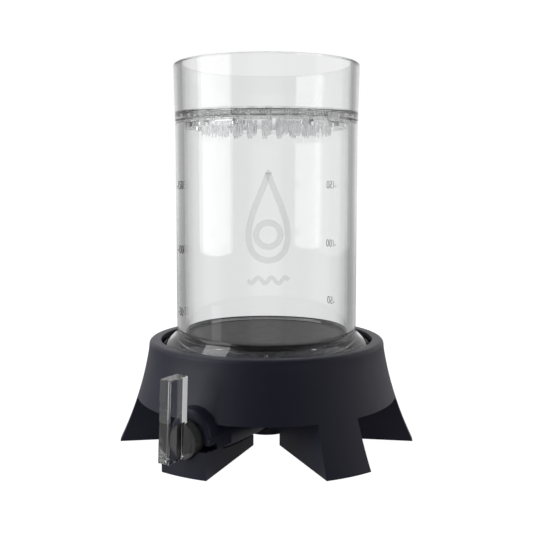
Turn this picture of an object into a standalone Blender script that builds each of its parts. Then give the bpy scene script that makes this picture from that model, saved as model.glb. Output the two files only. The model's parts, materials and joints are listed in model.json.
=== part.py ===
"""Flow-control coffee dripper: a clear brew chamber on a flared black base with a lever valve.

Lengths are written in millimetres and turned into metres by mm().  The brewer's own vertical
axis is the origin of the empty "brewer_axis"; that empty is set back so that the middle of the
whole footprint, with the lever standing out at the front, is the world origin.
"""
import math

import bmesh
import bpy

# ---------------------------------------------------------------- driving dimensions (mm)
AXIS_Y = 2.0             # brewer axis behind the middle of the footprint
GAP = 0.3                # running clearance between neighbouring pieces

TUBE_R = 30.5            # brew chamber, outside
TUBE_WALL = 2.8
TUBE_TOP = 106.45
TUBE_FOOT = 31.6         # lower end of the tube, on the funnel's shoulder
FLANGE_R = 35.3          # sloping foot flange, outer edge
LUG_Z = (26.4, 28.2)     # bayonet lugs, bottom and top
LUG_COUNT = 3

CAP_TOP = 126.3          # dispersion cap
CAP_R_TOP = 30.95
CAP_R_LOW = 30.65
CAP_FLOOR = (106.75, 109.3)
TAB_COUNT = 16
TAB_LEAD = 4.5           # degrees from the front to the first gap between tabs
NOZZLE_RINGS = ((0.0, 1), (5.25, 6), (10.5, 12), (15.75, 18), (21.0, 24))
NOZZLE_TIP = 102.9
NOZZLE_R = 1.25
NOZZLE_BORE = 0.5

RIM_TOP = 34.5           # base shell
RIM_R_IN = 36.0
SKIRT_TOP_R = 39.9       # skirt radius where the rim's rounding ends
SKIRT_TOP_Z = 33.0
SKIRT_WALL = 2.4
SKIRT_EDGE = 15.3        # lower edge of the skirt between the feet
LIP_Z = (28.6, 31.3)     # bayonet lip, bottom and top
LIP_R = 33.6
FOOT_COUNT = 6
RIB_IN = 13.0            # ribs start this far from the axis
RIB_TOP = 15.0
RIB_HALF = 0.5           # rib half width is RIB_HALF + RIB_SPREAD * radius
RIB_SPREAD = 0.154

VALVE_ANGLE = -30.0      # degrees about +Z, from the front (-Y) towards +X
VALVE_Z = 11.3           # height of the valve axis
BARREL_R = 7.8
BARREL_ENDS = (-9.0, 37.2)
BORE_R = 4.95
PLUG_R = 4.6
PORT_R = 2.6             # drain hole and cross bore
COLLAR_R = 8.4
COLLAR_RISE = 0.5        # collar arch centre above the valve axis
COLLAR_FACE = 48.0
COLLAR_EASE = 1.2        # rounding of the collar's front edge
GROOVE_Z = (8.4, 10.0)   # shadow groove between the foot's block and the collar
BLOCK = (45.4, 48.3)     # block that brings the valve foot forward under the knob, back and front
BLOCK_Z = (1.0, 8.9)
KNOB_R = 5.8
KNOB = (47.2, 51.1)      # knob, back and front
SLOT_FLOOR = 49.1
LEVER = (49.4, 58.0)     # lever, back and front
LEVER_HALF = 1.9
LEVER_ASIDE = -0.45      # middle of the lever and its slot, beside the valve axis
LEVER_LEAN = 2.5         # degrees that the open lever leans past upright
LEVER_Z = (5.9, 31.0)    # lever, bottom and top while it stands up
RING_AT = 6.2            # O-rings either side of the cross bore

SCREW_ANGLES = (30.0, 150.0, 270.0)
SCREW_AT = 22.0          # screws, distance from the brewer axis
SCREW_HOLE_R = 1.5       # clearance holes in the ribs, and pilot holes in the bosses
BOSS_R = 3.0
COUNTERBORE_R = 2.9
COUNTERBORE_TOP = 8.2

GRID_R = 26.0            # filter support grid
GRID_Z = (33.6, 35.5)
GRID_BARS = 6
GRID_BAR_HALF = 0.7
GRID_RINGS = ((4.2, 0.0), (11.4, 10.0), (18.6, 17.2), (GRID_R, 23.8))   # outer and inner radius
MESH_R = 26.2
MESH_THICK = 0.3

ROUND_STEPS = 48         # facets of the large turned pieces
SMALL_STEPS = 24         # facets of the valve pieces
ROD_STEPS = 16           # facets of screw holes, bosses and the drain port
ROD_TURN = 11.0          # degrees, so that no corner of a rod lies on an edge of what it cuts
OUTSIDE = 62.0           # a distance past every outer face, for cutters that run right out


def mm(value):
    """Millimetres to metres."""
    return value * 0.001


def skirt_radius(z):
    """Outer radius of the flared skirt and feet at height z."""
    drop = SKIRT_TOP_Z - z
    return SKIRT_TOP_R + 0.148 * drop + 0.00497 * drop * drop


def rib_half_width(radius):
    return RIB_HALF + RIB_SPREAD * radius


# ---------------------------------------------------------------- scene helpers
def clear_scene():
    for old in list(bpy.data.objects):
        bpy.data.objects.remove(old, do_unlink=True)


def new_collection(name):
    collection = bpy.data.collections.new(name)
    bpy.context.scene.collection.children.link(collection)
    return collection


def plastic(name, colour, roughness, metallic=0.0, transmission=0.0):
    """A Principled BSDF material."""
    material = bpy.data.materials.new(name)
    material.use_nodes = True
    shader = material.node_tree.nodes["Principled BSDF"]
    shader.inputs["Base Color"].default_value = (*colour, 1.0)
    shader.inputs["Roughness"].default_value = roughness
    shader.inputs["Metallic"].default_value = metallic
    shader.inputs["Transmission Weight"].default_value = transmission
    material.diffuse_color = (*colour, 1.0)
    return material


def add_object(name, mesh, collection, parent, material=None):
    piece = bpy.data.objects.new(name, mesh)
    collection.objects.link(piece)
    piece.parent = parent
    if material:
        mesh.materials.append(material)
    return piece


def add_cutter(name, mesh, parent):
    """A tool body for a Boolean: shown as wire and left out of renders."""
    cutter = add_object(name, mesh, CUTTERS, parent)
    cutter.hide_render = True
    cutter.display_type = "WIRE"
    return cutter


def outline_mesh(name, points, closed):
    """A mesh of edges through points (radius, height), for a Screw modifier."""
    mesh = bpy.data.meshes.new(name)
    shape = bmesh.new()
    verts = [shape.verts.new((mm(r), 0.0, mm(z))) for r, z in points]
    for a, b in zip(verts, verts[1:]):
        shape.edges.new((a, b))
    if closed:
        shape.edges.new((verts[-1], verts[0]))
    shape.to_mesh(mesh)
    shape.free()
    return mesh


def turn(piece, steps):
    """Turn a piece's outline about its local Z axis."""
    screw = piece.modifiers.new("turned", "SCREW")
    screw.steps = steps
    screw.render_steps = steps
    screw.use_merge_vertices = True
    screw.merge_threshold = 0.00001
    screw.use_smooth_shade = True
    return piece


def turned(name, points, parent, material, steps=ROUND_STEPS, closed=True):
    piece = add_object(name, outline_mesh(name, points, closed), PARTS, parent, material)
    return turn(piece, steps)


def turned_cutter(name, points, parent, steps=SMALL_STEPS, closed=False):
    return turn(add_cutter(name, outline_mesh(name, points, closed), parent), steps)


def boolean(piece, tool, operation="DIFFERENCE"):
    cut = piece.modifiers.new(tool.name, "BOOLEAN")
    cut.operation = operation
    cut.object = tool
    cut.solver = "EXACT"


def cylinder_outline(radius, low, high):
    """A solid cylinder's outline for a Screw, down its outer side and closed on the axis."""
    return [(0.0, high), (radius, high), (radius, low), (0.0, low)]


def box_mesh(name, boxes):
    """One mesh of boxes, each (low corner, high corner, turn about Z in degrees)."""
    mesh = bpy.data.meshes.new(name)
    shape = bmesh.new()
    for low, high, angle in boxes:
        made = bmesh.ops.create_cube(shape, size=1.0)["verts"]
        for vert in made:
            for axis in range(3):
                side = high[axis] if vert.co[axis] > 0 else low[axis]
                vert.co[axis] = mm(side)
        turn_verts(shape, made, angle)
    shape.to_mesh(mesh)
    shape.free()
    return mesh


def turn_verts(shape, verts, angle):
    """Turn vertices about the Z axis by an angle in degrees."""
    c, s = math.cos(math.radians(angle)), math.sin(math.radians(angle))
    for vert in verts:
        x, y = vert.co.x, vert.co.y
        vert.co.x, vert.co.y = c * x - s * y, s * x + c * y


def rod_mesh(name, places, radius, low, high, sides=ROD_STEPS):
    """One mesh of upright rods, one at each plan place."""
    mesh = bpy.data.meshes.new(name)
    shape = bmesh.new()
    for x, y in places:
        made = bmesh.ops.create_cone(shape, cap_ends=True, segments=sides, radius1=mm(radius),
                                     radius2=mm(radius), depth=mm(high - low))["verts"]
        turn_verts(shape, made, ROD_TURN)
        bmesh.ops.translate(shape, verts=made, vec=(mm(x), mm(y), mm((low + high) / 2)))
    shape.to_mesh(mesh)
    shape.free()
    return mesh


def wedge_prisms(name, sections, angles):
    """Prisms along -Y, one per angle; sections are (y near, half width, y far, half width, z)."""
    mesh = bpy.data.meshes.new(name)
    shape = bmesh.new()
    low, high = sections
    for angle in angles:
        made = bmesh.ops.create_cube(shape, size=1.0)["verts"]
        for vert in made:
            near, near_half, far, far_half, z = high if vert.co.z > 0 else low
            is_far = vert.co.y < 0
            half = far_half if is_far else near_half
            vert.co.x = mm(half if vert.co.x > 0 else -half)
            vert.co.y = mm(-far if is_far else -near)
            vert.co.z = mm(z)
        turn_verts(shape, made, angle)
    shape.to_mesh(mesh)
    shape.free()
    return mesh


def arch_mesh(name, radius, centre, leg_end, back, front, sides=16, ease=0.0):
    """A prism along the valve axis: half round about centre, with straight legs to leg_end.

    The legs point down when leg_end is below centre and up when it is above.  The edge of the front
    face is rounded by ease.
    """
    mesh = bpy.data.meshes.new(name)
    shape = bmesh.new()
    bulge = radius if leg_end < centre else -radius
    outline = [(radius * math.cos(math.pi * k / sides), centre + bulge * math.sin(math.pi * k / sides))
               for k in range(sides + 1)]
    outline += [(-radius, leg_end), (radius, leg_end)]
    face = shape.faces.new([shape.verts.new((mm(x), mm(y), mm(back))) for x, y in outline])
    sweep_up(shape, face, front)
    if ease:
        halfway = mm((back + front) / 2.0)
        rim = [edge for edge in shape.edges if min(vert.co.z for vert in edge.verts) > halfway]
        bmesh.ops.bevel(shape, geom=rim, offset=mm(ease), segments=3, profile=0.5, affect="EDGES")
    shape.to_mesh(mesh)
    shape.free()
    return mesh


def sweep_up(shape, face, top):
    """Extrude a flat face along local Z to the height top."""
    swept = bmesh.ops.extrude_face_region(shape, geom=[face])["geom"]
    for item in swept:
        if isinstance(item, bmesh.types.BMVert):
            item.co.z = mm(top)
    bmesh.ops.recalc_face_normals(shape, faces=shape.faces)


# ---------------------------------------------------------------- base
def make_base_shell():
    """Rim, flared skirt, six wedge ribs that end in feet, bayonet lip and valve collar."""
    outer = [(skirt_radius(z), z) for z in (29.0, 24.5, 20.0, SKIRT_EDGE, 10.5, 5.2, 0.0)]
    inner = [(skirt_radius(z) - SKIRT_WALL, z) for z in (0.0, 7.5, SKIRT_EDGE, 22.0, LIP_Z[0])]
    rounding = [(38.4, RIM_TOP), (39.2, 34.25), (39.7, 33.7), (SKIRT_TOP_R, SKIRT_TOP_Z)]
    lip = [(LIP_R, LIP_Z[0]), (LIP_R, LIP_Z[1]), (RIM_R_IN, LIP_Z[1]), (RIM_R_IN, RIM_TOP)]
    shell = turned("base_shell", rounding + outer + inner + lip, AXIS, BLACK)

    feet = [360.0 / FOOT_COUNT * (k + 0.5) for k in range(FOOT_COUNT)]
    blanks = wedge_prisms("rib_blanks", (rib_section(0.0), rib_section(RIB_TOP)), feet)
    boolean(shell, add_cutter("rib_blanks", blanks, AXIS), "UNION")
    back, front = BLOCK
    low, high = ((back, COLLAR_R, front, COLLAR_R, z) for z in BLOCK_Z)
    block = wedge_prisms("foot_block", (low, high), [VALVE_ANGLE])
    boolean(shell, add_cutter("foot_block", block, AXIS), "UNION")
    boolean(shell, add_cutter("foot_gaps", foot_gap_mesh(), AXIS))
    fit_valve_to_shell(shell)
    fit_bayonet_to_shell(shell)
    fit_screws_to_shell(shell)


def rib_section(z):
    """Plan of a rib blank at height z, wider than the finished rib, for wedge_prisms()."""
    spare = 1.0
    far = skirt_radius(z) - SKIRT_WALL / 2.0
    return (RIB_IN, rib_half_width(RIB_IN) + spare, far, rib_half_width(far) + spare, z)


def foot_gap_mesh():
    """Six prisms that leave the wedge ribs and the feet standing between them."""
    mesh = bpy.data.meshes.new("foot_gaps")
    shape = bmesh.new()
    pitch = 360.0 / FOOT_COUNT
    start = RIB_IN - 1.0
    for k in range(FOOT_COUNT):
        left, right = pitch * (k - 0.5), pitch * (k + 0.5)
        plan = [beside_rib(left, start, 1), beside_rib(left, OUTSIDE, 1),
                beside_rib(right, OUTSIDE, -1), beside_rib(right, start, -1)]
        face = shape.faces.new([shape.verts.new((mm(x), mm(y), mm(-1.0))) for x, y in plan])
        sweep_up(shape, face, SKIRT_EDGE)
    shape.to_mesh(mesh)
    shape.free()
    return mesh


def beside_rib(angle, radius, side):
    """The plan point on one side face of the rib at an angle, at a distance from the axis."""
    a = math.radians(angle)
    half = side * rib_half_width(radius)
    return (radius * math.sin(a) + half * math.cos(a), -radius * math.cos(a) + half * math.sin(a))


def fit_valve_to_shell(shell):
    """Collar round the knob, the groove under it, and a cradle for the barrel."""
    cradle_end = BARREL_ENDS[1] + GAP
    groove_low, groove_high = GROOVE_Z[0] - VALVE_Z, GROOVE_Z[1] - VALVE_Z
    collar_foot, collar_back = groove_low - 0.3, cradle_end - 1.5
    collar = arch_mesh("valve_collar", COLLAR_R, COLLAR_RISE, collar_foot, collar_back, COLLAR_FACE,
                       ease=COLLAR_EASE)
    boolean(shell, add_cutter("valve_collar", collar, VALVE), "UNION")
    groove_half, groove_back = COLLAR_R + 0.4, 44.0
    groove = [((-groove_half, groove_low, groove_back), (groove_half, groove_high, OUTSIDE), 0.0)]
    boolean(shell, add_cutter("collar_groove", box_mesh("collar_groove", groove), VALVE))
    above_ribs, in_hub = 10.0, 9.0
    cradle = arch_mesh("barrel_cradle", BARREL_R + GAP, 0.0, above_ribs, in_hub, cradle_end)
    boolean(shell, add_cutter("barrel_cradle", cradle, VALVE))
    spindle_hole = cylinder_outline(BORE_R, cradle_end - 5.0, OUTSIDE)
    boolean(shell, turned_cutter("spindle_hole", spindle_hole, VALVE))
    knob_pocket = cylinder_outline(KNOB_R + GAP, KNOB[0] - GAP, OUTSIDE)
    boolean(shell, turned_cutter("knob_pocket", knob_pocket, VALVE))


def fit_bayonet_to_shell(shell):
    """Entry slots through the lip, and stops under it at the locked end."""
    turn_to_enter = 30.0
    slot_half, slot_in, slot_out = 7.2, LIP_R - 2.0, RIM_R_IN + 1.2
    stop_near, stop_far, stop_in, stop_out = 7.0, 8.4, LIP_R + 0.3, 39.2
    slots, stops = [], []
    for k in range(LUG_COUNT):
        angle = 360.0 / LUG_COUNT * k
        slots.append(((-slot_half, -slot_out, LIP_Z[0] - 1.6), (slot_half, -slot_in, LIP_Z[1] + 1.7),
                      angle + turn_to_enter))
        stops.append(((-stop_far, -stop_out, LUG_Z[0]), (-stop_near, -stop_in, LIP_Z[0] + 0.6), angle))
    boolean(shell, add_cutter("lug_slots", box_mesh("lug_slots", slots), AXIS))
    boolean(shell, add_cutter("lug_stops", box_mesh("lug_stops", stops), AXIS), "UNION")


def screw_places():
    """Plan places of the base screws."""
    turns = [math.radians(angle) for angle in SCREW_ANGLES]
    return [(SCREW_AT * math.sin(a), -SCREW_AT * math.cos(a)) for a in turns]


def fit_screws_to_shell(shell):
    """Counterbored clearance holes up through the ribs."""
    holes = rod_mesh("screw_holes", screw_places(), SCREW_HOLE_R, COUNTERBORE_TOP / 2.0, RIB_TOP + 5.0)
    boolean(shell, add_cutter("screw_holes", holes, AXIS))
    wells = rod_mesh("counterbores", screw_places(), COUNTERBORE_R, -1.0, COUNTERBORE_TOP)
    boolean(shell, add_cutter("counterbores", wells, AXIS))


# ---------------------------------------------------------------- funnel, spout and filter
def make_drain_funnel():
    """Bowl under the mesh, plug top for the chamber's bore, and the valve barrel."""
    plug_r = TUBE_R - TUBE_WALL - 0.4
    shoulder_r, shoulder_z = TUBE_R + 0.1, TUBE_FOOT - GAP
    points = [(24.3, 33.3), (plug_r, 33.3), (plug_r, shoulder_z), (shoulder_r, shoulder_z),
              (shoulder_r, 28.6), (26.2, 28.6), (8.0, 19.5), (8.0, VALVE_Z + 1.0), (0.0, VALVE_Z + 1.0)]
    bowl = [(0.0, 19.7), (24.3, 31.5)]
    funnel = turned("drain_funnel", bowl + points, AXIS, BLACK, closed=False)
    barrel = turned_cutter("barrel", cylinder_outline(BARREL_R, *BARREL_ENDS), VALVE)
    boolean(funnel, barrel, "UNION")
    boss_top, pilot_top, port_top = 28.9, 24.0, 24.0
    bosses = rod_mesh("bosses", screw_places(), BOSS_R, RIB_TOP + GAP, boss_top)
    boolean(funnel, add_cutter("bosses", bosses, AXIS), "UNION")
    pilots = rod_mesh("pilot_holes", screw_places(), SCREW_HOLE_R, RIB_TOP - 5.0, pilot_top)
    boolean(funnel, add_cutter("pilot_holes", pilots, AXIS))
    port = rod_mesh("drain_port", [(0.0, 0.0)], PORT_R, 0.0, port_top)
    bore = cylinder_outline(BORE_R, BARREL_ENDS[0] - 2.0, BARREL_ENDS[1] + 2.0)
    passages = turned_cutter("spindle_bore", bore, VALVE)
    boolean(passages, add_cutter("drain_port", port, AXIS), "UNION")
    boolean(funnel, passages)


def make_outlet_spout():
    """Stepped nozzle that clips up round the middle of the valve barrel."""
    points = [(3.4, 9.0), (9.0, 9.0), (9.0, 6.4), (8.6, 6.1), (8.6, 4.5), (8.2, 4.2),
              (8.2, 2.5), (7.7, 2.0), (3.4, 2.0)]
    spout = turned("outlet_spout", points, AXIS, BLACK, steps=32)
    saddle = cylinder_outline(BARREL_R + GAP, -14.0, 14.0)
    boolean(spout, turned_cutter("barrel_saddle", saddle, VALVE, steps=32))


def make_filter():
    """Spoked grid, mesh disc and the gasket round them."""
    low, high = GRID_Z
    make_support_grid(low, high)
    mesh_disc = cylinder_outline(MESH_R, high + 0.35, high + 0.35 + MESH_THICK)
    turned("filter_mesh", mesh_disc, AXIS, STEEL, closed=False)
    seal = [(26.5, 36.3), (27.2, 36.3), (27.4, 36.0), (27.4, low), (26.5, low)]
    turned("filter_gasket", seal, AXIS, RUBBER)


def make_support_grid(low, high):
    """Bars across the bowl with rings joined on; the bars are a little shallower than the rings."""
    reach, sunk = GRID_R - 0.8, 0.2
    bar_low, bar_high = (-reach, -GRID_BAR_HALF, low), (reach, GRID_BAR_HALF, high - sunk)
    bars = [box_mesh(f"grid_bar_{k}", [(bar_low, bar_high, 180.0 / GRID_BARS * k)])
            for k in range(GRID_BARS)]
    grid = add_object("filter_support_grid", bars[0], PARTS, AXIS, BLACK)
    for bar in bars[1:]:
        boolean(grid, add_cutter(bar.name, bar, AXIS), "UNION")
    for number, (outer, inner) in enumerate(GRID_RINGS):
        steps = ROUND_STEPS if outer == GRID_R else SMALL_STEPS
        outline = [(inner, high), (outer, high), (outer, low + sunk), (inner, low + sunk)]
        ring = turned_cutter(f"grid_ring_{number}", outline, AXIS, steps, closed=inner > 0.0)
        boolean(grid, ring, "UNION")


# ---------------------------------------------------------------- chamber and cap
def make_brew_chamber():
    """Clear tube with a sloping foot flange, a lead-in chamfer and a bayonet ring under it."""
    bore = TUBE_R - TUBE_WALL
    points = [(TUBE_R - 0.4, TUBE_TOP), (TUBE_R, TUBE_TOP - 0.4), (TUBE_R, 37.2), (30.8, 36.5),
              (31.5, 35.8), (FLANGE_R - 0.3, 32.8), (FLANGE_R, 32.4), (FLANGE_R, TUBE_FOOT),
              (33.2, 33.0), (33.2, LUG_Z[0]), (TUBE_R + 0.4, LUG_Z[0]),
              (TUBE_R + 0.4, TUBE_FOOT), (bore, 33.6), (bore, TUBE_TOP)]
    chamber = turned("brew_chamber", points, AXIS, CLEAR)
    lugs = [((-6.0, -36.5, LUG_Z[0] + 0.1), (6.0, -32.4, LUG_Z[1]), 360.0 / LUG_COUNT * k)
            for k in range(LUG_COUNT)]
    boolean(chamber, add_cutter("lugs", box_mesh("lugs", lugs), AXIS), "UNION")


def make_dispersion_cap():
    """Clear cup whose floor carries drip nozzles and a ring of locating tabs."""
    bottom, floor = CAP_FLOOR
    inside = CAP_R_TOP - TUBE_WALL
    tab_low, tab_out, tab_in = 105.0, TUBE_R - TUBE_WALL - GAP, 25.0
    points = [(0.0, floor), (inside - 1.2, floor), (inside - 0.35, floor + 0.5), (inside, floor + 1.4),
              (inside + 0.1, CAP_TOP - 0.5), (inside + 0.7, CAP_TOP), (CAP_R_TOP - 0.6, CAP_TOP),
              (CAP_R_TOP, CAP_TOP - 0.6), (CAP_R_LOW, 111.0), (CAP_R_LOW, bottom + 0.4),
              (CAP_R_LOW - 0.4, bottom), (tab_out, bottom), (tab_out, tab_low), (tab_in, tab_low),
              (tab_in, bottom), (0.0, bottom)]
    cap = turned("dispersion_cap", points, AXIS, CLEAR, closed=False)
    pitch = 360.0 / TAB_COUNT
    notch_half = 1.7
    notches = [((-notch_half, -tab_out - 1.5, tab_low - 1.0), (notch_half, -tab_in + 1.5, bottom - 0.05),
                pitch * k + TAB_LEAD) for k in range(TAB_COUNT)]
    boolean(cap, add_cutter("tab_notches", box_mesh("tab_notches", notches), AXIS))
    tubes = rod_mesh("nozzles", nozzle_places(), NOZZLE_R, NOZZLE_TIP, bottom + 0.6, sides=6)
    boolean(cap, add_cutter("nozzles", tubes, AXIS), "UNION")
    past_tip, past_floor = NOZZLE_TIP - 1.0, floor + 1.0
    bores = rod_mesh("nozzle_bores", nozzle_places(), NOZZLE_BORE, past_tip, past_floor, sides=4)
    boolean(cap, add_cutter("nozzle_bores", bores, AXIS))


def nozzle_places():
    """Plan places of the drip nozzles, on rings round the axis."""
    lead = 0.12
    return [(ring * math.sin(2.0 * math.pi * (k + lead) / count),
             -ring * math.cos(2.0 * math.pi * (k + lead) / count))
            for ring, count in NOZZLE_RINGS for k in range(count)]


# ---------------------------------------------------------------- valve (local Z is the valve axis)
def make_valve_plug():
    """Spindle with O-ring grooves, a clip groove, a cross bore and a square drive end."""
    groove_r, half = 3.1, 0.95
    inner_end = BARREL_ENDS[0] - 0.1
    points = [(0.0, 46.9), (PLUG_R, 46.9)]
    for centre in (RING_AT, -RING_AT):
        points += [(PLUG_R, centre + half), (groove_r, centre + half),
                   (groove_r, centre - half), (PLUG_R, centre - half)]
    points += [(PLUG_R, inner_end), (2.9, inner_end), (2.9, inner_end - 1.1), (4.0, inner_end - 1.1),
               (4.0, inner_end - 2.1), (0.0, inner_end - 2.1)]
    plug = turned("valve_plug", points, VALVE, DARK, steps=SMALL_STEPS, closed=False)
    stub = box_mesh("drive_square", [((-1.8, -1.8, 45.0), (1.8, 1.8, 48.3), 0.0)])
    boolean(plug, add_cutter("drive_square", stub, VALVE), "UNION")
    boolean(plug, turned_cutter("cross_bore", cylinder_outline(PORT_R - 0.2, 0.0, 24.0), AXIS, steps=16))


def make_valve_knob():
    back, front = KNOB
    points = [(0.0, front), (KNOB_R - 0.4, front), (KNOB_R, front - 0.4), (KNOB_R, back), (0.0, back)]
    knob = turned("valve_knob", points, VALVE, DARK, steps=SMALL_STEPS * 2, closed=False)
    slot_half = LEVER_HALF + GAP
    slot_left, slot_right = LEVER_ASIDE - slot_half, LEVER_ASIDE + slot_half
    past_knob = front + 1.0
    low, high = (slot_left, -9.0, SLOT_FLOOR), (slot_right, 9.0, past_knob)
    slot = box_mesh("lever_slot", [(low, high, -LEVER_LEAN)])
    boolean(knob, add_cutter("lever_slot", slot, VALVE))
    socket = box_mesh("drive_socket", [((-2.1, -2.1, back - 1.0), (2.1, 2.1, 48.6), 0.0)])
    boolean(knob, add_cutter("drive_socket", socket, VALVE))


def make_valve_lever():
    """Clear bar that stands up while the valve is open."""
    back, front = LEVER
    low, high = LEVER_Z[0] - VALVE_Z, LEVER_Z[1] - VALVE_Z
    left, right = LEVER_ASIDE - LEVER_HALF, LEVER_ASIDE + LEVER_HALF
    mesh = box_mesh("valve_lever", [((left, low, back), (right, high, front), -LEVER_LEAN)])
    lever = add_object("valve_lever", mesh, PARTS, VALVE, CLEAR)
    edge = lever.modifiers.new("eased edges", "BEVEL")
    edge.width = mm(0.4)
    edge.segments = 2


def make_valve_seals():
    for name, place in (("plug_o_ring_outer", RING_AT), ("plug_o_ring_inner", -RING_AT)):
        bpy.ops.mesh.primitive_torus_add(major_radius=mm(4.02), minor_radius=mm(0.6),
                                         major_segments=SMALL_STEPS, minor_segments=8)
        ring = bpy.context.active_object
        for holder in list(ring.users_collection):
            holder.objects.unlink(ring)
        PARTS.objects.link(ring)
        ring.name = name
        ring.parent = VALVE
        ring.location = (0.0, 0.0, mm(place))
        ring.data.materials.append(RUBBER)
        ring.data.shade_smooth()


def make_retaining_clip():
    """Snap ring in the spindle's inner groove."""
    near, far = BARREL_ENDS[0] - 0.4, BARREL_ENDS[0] - 0.9
    points = [(3.2, near), (5.4, near), (5.4, far), (3.2, far)]
    clip = turned("valve_retaining_clip", points, VALVE, STEEL, steps=SMALL_STEPS)
    mouth = box_mesh("clip_mouth", [((-2.4, -8.0, far - 1.0), (2.4, -1.0, near + 1.0), 0.0)])
    boolean(clip, add_cutter("clip_mouth", mouth, VALVE))


def make_base_screws():
    """Pan-head screws up through three ribs into the funnel's bosses."""
    top = COUNTERBORE_TOP - GAP
    for number, (x, y) in enumerate(screw_places(), start=1):
        points = [(0.0, 23.6), (0.8, 23.6), (1.2, 22.8), (1.2, top), (2.5, top), (2.5, top - 1.4),
                  (2.0, top - 1.9), (0.0, top - 1.9)]
        screw = turned(f"base_screw_{number}", points, AXIS, STEEL, steps=16, closed=False)
        screw.location = (mm(x), mm(y), 0.0)
        drive = turned_cutter(f"hex_drive_{number}", cylinder_outline(1.1, 0.0, top - 0.9), AXIS, steps=6)
        drive.location = (mm(x), mm(y), 0.0)
        boolean(screw, drive)


clear_scene()
PARTS = new_collection("flow_control_dripper")
CUTTERS = new_collection("cutters")
BLACK = plastic("black_plastic", (0.012, 0.012, 0.014), 0.42)
DARK = plastic("dark_acetal", (0.02, 0.02, 0.022), 0.35)
CLEAR = plastic("clear_copolyester", (0.95, 0.96, 0.97), 0.04, transmission=1.0)
STEEL = plastic("stainless_steel", (0.55, 0.55, 0.54), 0.32, metallic=1.0)
RUBBER = plastic("black_silicone", (0.02, 0.02, 0.02), 0.6)

AXIS = bpy.data.objects.new("brewer_axis", None)
AXIS.location = (0.0, mm(AXIS_Y), 0.0)
PARTS.objects.link(AXIS)
VALVE = bpy.data.objects.new("valve_axis", None)
VALVE.parent = AXIS
VALVE.location = (0.0, 0.0, mm(VALVE_Z))
VALVE.rotation_euler = (math.radians(90.0), 0.0, math.radians(VALVE_ANGLE))
PARTS.objects.link(VALVE)

make_base_shell()
make_drain_funnel()
make_outlet_spout()
make_filter()
make_brew_chamber()
make_dispersion_cap()
make_valve_plug()
make_valve_knob()
make_valve_lever()
make_valve_seals()
make_retaining_clip()
make_base_screws()
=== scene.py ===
"""Looks of the flow-control coffee dripper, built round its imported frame.

Lengths are in millimetres and become metres in mm().  Two local frames hold the shapes: BREWER
stands on the brewer's own upright axis, and VALVE lies along the valve spindle, with +Z outwards
and +Y up.  Every piece is made in one of them, with its mesh in that frame's coordinates.
"""
import json
import math

import bmesh
import bpy
from mathutils import Matrix, Vector


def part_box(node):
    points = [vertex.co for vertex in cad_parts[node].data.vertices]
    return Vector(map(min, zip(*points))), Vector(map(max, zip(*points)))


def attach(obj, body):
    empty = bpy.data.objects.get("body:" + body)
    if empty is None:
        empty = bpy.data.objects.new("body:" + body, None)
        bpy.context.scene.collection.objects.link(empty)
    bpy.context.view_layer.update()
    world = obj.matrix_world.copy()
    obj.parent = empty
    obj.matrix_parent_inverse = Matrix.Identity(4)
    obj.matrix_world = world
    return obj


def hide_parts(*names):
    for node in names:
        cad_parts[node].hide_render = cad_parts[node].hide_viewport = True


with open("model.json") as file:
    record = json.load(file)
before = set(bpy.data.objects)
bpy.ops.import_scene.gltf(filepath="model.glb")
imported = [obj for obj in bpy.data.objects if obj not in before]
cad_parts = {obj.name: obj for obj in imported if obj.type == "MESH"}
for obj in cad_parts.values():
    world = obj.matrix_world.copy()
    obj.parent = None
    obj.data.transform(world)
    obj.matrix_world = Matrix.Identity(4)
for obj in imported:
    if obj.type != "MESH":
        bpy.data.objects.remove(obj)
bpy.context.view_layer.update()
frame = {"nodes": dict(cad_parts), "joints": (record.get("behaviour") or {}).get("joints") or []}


def mm(value):
    """Millimetres to metres."""
    return value * 0.001


def in_mm(value):
    """Metres to millimetres."""
    return value * 1000.0


# ---------------------------------------------------------------- places read from the frame
SCREEN_LOW, SCREEN_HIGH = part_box("filter_mesh")
TUBE_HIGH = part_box("brew_chamber")[1]
CAP_LOW, CAP_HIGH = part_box("dispersion_cap")
VALVE_JOINT = next(joint for joint in frame["joints"] if joint["name"] == "valve_turn")

SCREEN_MIDDLE = (SCREEN_LOW + SCREEN_HIGH) / 2
BREWER = Matrix.Translation((SCREEN_MIDDLE.x, SCREEN_MIDDLE.y, 0.0))
UP = Vector((0.0, 0.0, 1.0))
OUTWARD = -Vector(VALVE_JOINT["axis"]).normalized()
VALVE_ANGLE = math.degrees(math.atan2(OUTWARD.x, -OUTWARD.y))
VALVE_TURN = Matrix((UP.cross(OUTWARD), UP, OUTWARD)).transposed().to_4x4()
VALVE = Matrix.Translation(VALVE_JOINT["pos_m"]) @ VALVE_TURN

# ---------------------------------------------------------------- driving sizes
# Millimetres, and degrees for angles.  A pair ending in _Z is a lower and an upper height.  The
# pairs for the barrel, block, knob and lever are their inner and outer ends, out from the axis.
TUBE_R = 30.5
TUBE_WALL = 2.8
TUBE_BORE = TUBE_R - TUBE_WALL          # radius of the bore
SEAT_RISE = 0.75             # how much higher than in the CAD the tube's rim and the cap's seat are
TUBE_TOP = in_mm(TUBE_HIGH.z) + SEAT_RISE
TUBE_FOOT = 31.6
FLANGE_R = 35.3
CAP_TOP = in_mm(CAP_HIGH.z)
CAP_FLOOR = (106.75, 109.3)  # underside and top of the cap's floor
NOZZLE_TIP = in_mm(CAP_LOW.z)
NOZZLE_R = 1.2               # outside, at the floor
NOZZLE_TIP_R = 0.8
NOZZLE_BORE = (0.45, 0.5)    # radius of the bore at its top and at the tip
NOZZLE_RINGS = ((0.0, 1), (5.25, 6), (10.5, 12), (15.75, 18), (21.0, 24))   # radius and count
RIM_TOP = 34.5
RIM_R_IN = 36.0
SKIRT_TOP = (39.9, 33.0)     # radius and height where the skirt leaves the rim's rounding
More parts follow.
